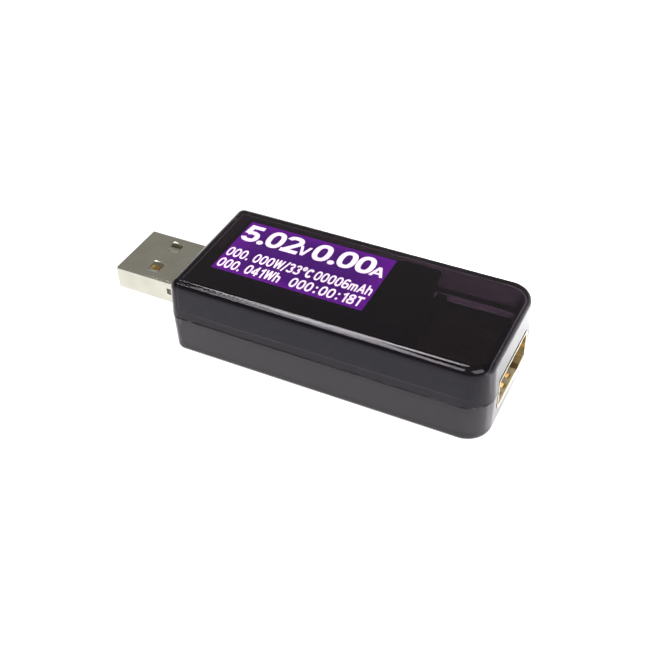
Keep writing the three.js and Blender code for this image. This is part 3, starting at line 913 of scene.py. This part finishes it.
def glossy_film(name, dark, light, roughness):
    """A smooth film or tape with a soft unevenness."""
    surface = Surface(name)
    ripple = surface.noise(1.8 * MM, 2.0)
    surface.drive("Base Color", surface.colours(ripple, [(0.3, dark), (0.7, light)]))
    surface.drive("Roughness", surface.spread(ripple, roughness, roughness + 0.1))
    surface.bump(ripple, 0.01 * MM, 0.25)
    return surface.material


def border_nearness(surface, middle, half):
    """How near a point on the lit area is to its border: 1 on the border and 0 in the middle."""
    shifted = surface.node("ShaderNodeMapping")
    shifted.inputs["Location"].default_value = (-middle.x / half.x, -middle.y / half.y, 0.0)
    shifted.inputs["Scale"].default_value = (1 / half.x, 1 / half.y, 0.0)
    coordinates = surface.node("ShaderNodeTexCoord")
    surface.tree.links.new(coordinates.outputs["Object"], shifted.inputs["Vector"])
    sizes = surface.node("ShaderNodeVectorMath", operation="ABSOLUTE")
    surface.tree.links.new(shifted.outputs["Vector"], sizes.inputs[0])
    parts = surface.node("ShaderNodeSeparateXYZ")
    surface.tree.links.new(sizes.outputs["Vector"], parts.inputs["Vector"])
    larger = surface.node("ShaderNodeMath", operation="SMOOTH_MAX")
    larger.inputs[2].default_value = 0.1
    surface.tree.links.new(parts.outputs["X"], larger.inputs[0])
    surface.tree.links.new(parts.outputs["Y"], larger.inputs[1])
    return larger.outputs["Value"]


def lit_pixels():
    """The display's lit background: violet, brighter and redder towards the border."""
    surface = Surface("lit_pixels", base_color=(0.01, 0.004, 0.02), roughness=0.3, emission_strength=8.2)
    half = Vector((LIT_LENGTH / 2, LIT_WIDTH / 2))
    border = border_nearness(surface, LIT_MIDDLE, half)
    uneven = surface.noise(2.2 * MM, 2.0)
    mixed = surface.node("ShaderNodeMath", operation="MULTIPLY_ADD")
    mixed.inputs[1].default_value = 0.12
    surface.tree.links.new(uneven, mixed.inputs[0])
    surface.tree.links.new(border, mixed.inputs[2])
    glow = surface.colours(
        mixed.outputs["Value"],
        [(0.72, (0.062, 0.0, 0.19)), (0.88, (0.085, 0.0, 0.24)), (1.0, (0.125, 0.003, 0.3))],
    )
    surface.drive("Emission Color", glow)
    return surface.material


def lit_figures():
    """The figures: white, with a faint unevenness in their brightness."""
    surface = Surface("lit_figures", base_color=(0.8, 0.8, 0.8), roughness=0.4, emission_strength=14.2)
    uneven = surface.noise(0.3 * MM, 1.0)
    glow = surface.colours(uneven, [(0.3, (0.78, 0.95, 0.82)), (0.7, (0.84, 1.0, 0.88))])
    surface.drive("Emission Color", glow)
    return surface.material


def use(material, *names):
    """Gives CAD nodes a material."""
    for name in names:
        piece = frame["nodes"][name]
        piece.data.materials.clear()
        piece.data.materials.append(material)


def add_piece(name, mesh, material, slot, *replaced, edge=0.0):
    """A piece on the housing with a material, the CAD nodes it replaces and its edges' rounding. The slot
    argument is not used.
    """
    piece = new_object(name, mesh)
    piece.data.materials.append(material)
    if replaced:
        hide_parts(*replaced)
    finish_edges(piece, edge)
    return piece


# The meter

def add_case():
    # Upper and lower shells are shaded and lit copies of one smoky plastic; the upper copy's specular tint
    # below white dims its reflection as painted shade
    upper = smoky_plastic(
        "smoky_plastic",
        clearest=(0.132, 0.086, 0.12),
        darkest=(0.11, 0.071, 0.1),
        # walls: painted shade along the upright sides
        walls=(0.048, 0.037, 0.048),
        ior=1.43,
        sheen=(0.82, 0.79, 0.93),
    )
    # Lit copy: the lower shell's higher IOR and whiter specular tint brighten its reflection as painted
    # light
    lower = smoky_plastic(
        "smoky_plastic_lower_lit",
        clearest=(0.094, 0.076, 0.096),
        darkest=(0.073, 0.059, 0.075),
        # walls: painted shade along the upright sides
        walls=(0.084, 0.068, 0.086),
        ior=1.53,
        sheen=(0.98, 0.92, 1.0),
    )
    add_piece("upper_shell", top_cover(), upper, "smoky_plastic", "top_cover")
    add_piece("lower_shell", bottom_cover(), lower, "smoky_plastic", "bottom_cover")


def add_connectors(metal):
    add_piece("plug_sheet", plug_shell(), metal, "nickel", "plug_shell", edge=0.05 * MM)
    # Painted reflection: the socket shell's nickel is warm tan and brighter, standing in for gold contacts
    # and light reflected inside the socket
    use(nickel("nickel_gold_reflection", (0.66, 0.58, 0.42), (0.74, 0.66, 0.5)), "socket_shell")
    white = moulded("white_plastic", (0.68, 0.65, 0.6), (0.76, 0.74, 0.7), 0.42)
    use(white, "plug_insulator", "socket_insulator", "switch_plunger")
    plating = gold()
    for i in range(1, 5):
        use(plating, f"plug_contact_{i}", f"socket_contact_{i}")


def add_display():
    black = moulded("black_plastic", (0.008, 0.008, 0.009), (0.014, 0.014, 0.015), 0.55)
    use(black, "display_frame", "switch_base")
    use(clear_sheet("clear_acrylic", (0.8, 0.83, 0.88), (0.86, 0.88, 0.92), 0.04), "light_guide")
    use(glossy_film("diffuser_film", (0.7, 0.7, 0.72), (0.78, 0.78, 0.8), 0.5), "diffuser_sheet")
    emitter = moulded("led_plastic", (0.75, 0.72, 0.45), (0.85, 0.82, 0.55), 0.35)
    use(emitter, "backlight_led_1", "backlight_led_2")
    glass = glossy_film("display_glass", (0.012, 0.01, 0.016), (0.018, 0.015, 0.024), 0.05)
    use(glass, "rear_glass", "front_glass")
    polariser = glossy_film("polariser", (0.009, 0.006, 0.014), (0.014, 0.009, 0.02), 0.12)
    use(polariser, "front_polariser", "rear_polariser")
    use(glossy_film("black_tape", (0.006, 0.006, 0.008), (0.01, 0.01, 0.012), 0.3), "display_mask")
    use(glossy_film("flex_film", (0.24, 0.1, 0.02), (0.33, 0.15, 0.035), 0.3), "display_flex")
    foam = moulded("foam", (0.012, 0.012, 0.014), (0.026, 0.026, 0.03), 0.9, 0.3 * MM, 0.05 * MM)
    use(foam, "display_foam_1", "display_foam_2")
    add_lit_area()


def add_lit_area():
    """The display's lit background just above the polariser, and the readings just above that."""
    film, gap = 0.02 * MM, 0.01 * MM
    base = polariser_high.z + gap
    outline = rounded_outline(
        LIT_MIDDLE.x - LIT_LENGTH / 2,
        LIT_MIDDLE.x + LIT_LENGTH / 2,
        LIT_MIDDLE.y - LIT_WIDTH / 2,
        LIT_MIDDLE.y + LIT_WIDTH / 2,
        LIT_CORNER,
        steps=4,
    )
    area = loft("lit_area", [[(x, y, z) for x, y in outline] for z in (base, base + film)])
    add_piece("lit_area", area, lit_pixels(), "polariser")
    readings = readings_mesh(base + film + gap)
    figures = add_piece("lit_readings", readings, lit_figures(), "polariser")
    thick = figures.modifiers.new("thickness", "SOLIDIFY")
    thick.thickness = film
    thick.offset = 1.0


def add_board():
    use(laminate(), "main_board")
    epoxy = moulded("chip_epoxy", (0.012, 0.012, 0.013), (0.02, 0.02, 0.021), 0.5)
    use(epoxy, "display_driver", "microcontroller", "regulator", "current_amplifier")
    use(epoxy, "shunt_resistor", "thermistor", "resistor_1", "resistor_2", "resistor_3", "resistor_4")
    ceramic = moulded("ceramic", (0.2, 0.14, 0.085), (0.28, 0.2, 0.13), 0.5)
    use(ceramic, "supply_capacitor", "capacitor_1", "capacitor_2", "capacitor_3")


def add_button(metal):
    use(button_plastic(), "reset_button")
    use(metal, "switch_cover")
    dome = add_piece("snap_dome", snap_dome(), metal, "nickel", "switch_dome")
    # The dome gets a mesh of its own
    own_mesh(dome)


def soften_cad_nodes():
    """Small round edges on the CAD nodes that stay in view."""
    for piece in frame["nodes"].values():
        if piece.hide_render:
            continue
        flat = piece.modifiers.new("flat faces", "DECIMATE")
        flat.decimate_type = "DISSOLVE"
        flat.angle_limit = math.radians(1.0)
        finish_edges(piece, 0.03 * MM)


metal = nickel("nickel", (0.6, 0.59, 0.51), (0.66, 0.65, 0.57))
add_case()
add_connectors(metal)
add_display()
add_board()
add_button(metal)
soften_cad_nodes()


# Floor, lights and camera

# The floor's own radiance, and the share of light it returns
FLOOR_GLOW = 1.02
FLOOR_TONE = 0.12

# Strips: their colour, radiances, distance, and elevations in degrees
STRIP_TINT = (1.0, 0.98, 0.9)
STRIP_RADIANCES = (8.0, 10.0, 10.0, 16.0, 15.0)
STRIP_DISTANCE = 0.42
FIRST_STRIP = 57.0
STRIP_STEP = 15.0

# Camera: where it looks, from how far and from which side, and how it is turned
AIM = Vector((4.185, -3.471, 7.1)) * MM
DISTANCE = 169.093 * MM
AZIMUTH = 27.59
ELEVATION = 40.587
ROLL = 1.981
FOCAL_LENGTH = 57.647
SENSOR_WIDTH = 36.0


def direction(azimuth, elevation):
    """A unit vector towards an azimuth from -Y, turning towards +X, and an elevation, in degrees."""
    a, e = math.radians(azimuth), math.radians(elevation)
    return Vector((math.sin(a) * math.cos(e), -math.cos(a) * math.cos(e), math.sin(e)))


def add_floor():
    """A pale table lit from within, so that it stays white under the meter."""
    half, drop = 0.9, 0.02 * MM
    mesh = mesh_from(
        "floor",
        [(-half, -half, 0), (half, -half, 0), (half, half, 0), (-half, half, 0)],
        [(0, 1, 2, 3)],
    )
    floor = bpy.data.objects.new("floor", mesh)
    bpy.context.scene.collection.objects.link(floor)
    floor.location.z = base_low.z - drop
    white = (1.0, 1.0, 1.0)
    surface = Surface("floor", roughness=0.9, emission_color=white, emission_strength=FLOOR_GLOW)
    tone = surface.noise(0.2, 2.0)
    change = 0.01
    pale = [(0.3, (FLOOR_TONE - change,) * 3), (0.7, (FLOOR_TONE + change,) * 3)]
    surface.drive("Base Color", surface.colours(tone, pale))
    floor.data.materials.append(surface.material)


def add_light(name, place, target, size, radiance, tint=(1.0, 1.0, 1.0)):
    """A rectangular soft light of a radiance, aimed at a target."""
    data = bpy.data.lights.new(name, "AREA")
    data.shape = "RECTANGLE"
    data.size, data.size_y = size
    data.energy = radiance * math.pi * size[0] * size[1]
    data.color = tint
    light = bpy.data.objects.new(name, data)
    light.location = place
    light.rotation_euler = (Vector(target) - Vector(place)).to_track_quat("-Z", "Y").to_euler()
    bpy.context.scene.collection.objects.link(light)
    return light


def add_world():
    """A dim studio that is pale towards the horizon."""
    world = bpy.data.worlds.new("studio")
    world.use_nodes = True
    tree = world.node_tree
    coordinates = tree.nodes.new("ShaderNodeTexCoord")
    parts = tree.nodes.new("ShaderNodeSeparateXYZ")
    ramp = tree.nodes.new("ShaderNodeValToRGB")
    tree.links.new(coordinates.outputs["Generated"], parts.inputs["Vector"])
    tree.links.new(parts.outputs["Z"], ramp.inputs["Fac"])
    tree.links.new(ramp.outputs["Color"], tree.nodes["Background"].inputs["Color"])
    stops = [
        (0.0, (1.0, 1.0, 1.0)),
        (0.12, (0.75, 0.75, 0.78)),
        (0.32, (0.34, 0.33, 0.315)),
        (0.5, (0.31, 0.3, 0.285)),
    ]
    while len(ramp.color_ramp.elements) < len(stops):
        ramp.color_ramp.elements.new(0.5)
    for element, (place, colour) in zip(ramp.color_ramp.elements, stops):
        element.position = place
        element.color = (*colour, 1.0)
    bpy.context.scene.world = world


def add_lights():
    centre = Vector((0.0, 0.0, 0.01))
    # Overhead strips in an arch across the meter, from the near side over the top
    shift, aim = Vector((-0.14, 0.0, 0.0)), centre + Vector((-0.03, 0.0, 0.0))
    for i, radiance in enumerate(STRIP_RADIANCES):
        at = centre + STRIP_DISTANCE * direction(0.0, FIRST_STRIP + STRIP_STEP * i) + shift
        add_light(f"strip_{i}", at, aim, (0.2, 0.07), radiance, STRIP_TINT)
    add_light("fill", 0.8 * direction(60.0, 50.0), centre, (0.5, 0.5), 4.0)
    add_spot("side", (0.2, 0.24, 0.36), (0.045, 0.012, 0.0), 0.03, 0.68)
    add_spot("behind", (0.1, 0.3, 0.36), (0.02, 0.034, 0.0), 0.025, 6.0)


def add_spot(name, place, target, reach, floor_radiance):
    """A soft-edged spot that lights a patch of the floor of a radius to a radiance at its middle."""
    data = bpy.data.lights.new(name, "SPOT")
    throw = Vector(target) - Vector(place)
    data.spot_size = 2 * math.atan(reach / throw.length)
    data.spot_blend = 1.0
    data.shadow_soft_size = 0.02
    facing = abs(throw.z) / throw.length
    data.energy = floor_radiance * 4 * math.pi**2 * throw.length**2 / (FLOOR_TONE * facing)
    spot = bpy.data.objects.new(name, data)
    spot.location = place
    spot.rotation_euler = throw.to_track_quat("-Z", "Y").to_euler()
    # The lamp itself is seen neither in a reflection nor through the plastic
    spot.visible_glossy = False
    spot.visible_transmission = False
    bpy.context.scene.collection.objects.link(spot)


def add_camera():
    data = bpy.data.cameras.new("camera")
    data.lens = FOCAL_LENGTH
    data.sensor_width = SENSOR_WIDTH
    data.clip_start = 0.005
    camera = bpy.data.objects.new("camera", data)
    camera.location = AIM + DISTANCE * direction(AZIMUTH, ELEVATION)
    turn = (AIM - camera.location).to_track_quat("-Z", "Y")
    roll = Euler((0, 0, math.radians(-ROLL))).to_quaternion()
    camera.rotation_euler = (turn @ roll).to_euler()
    bpy.context.scene.collection.objects.link(camera)
    bpy.context.scene.camera = camera


add_floor()
add_world()
add_lights()
add_camera()
bpy.context.scene.view_settings.view_transform = "Standard"
bpy.context.scene.view_settings.look = "None"
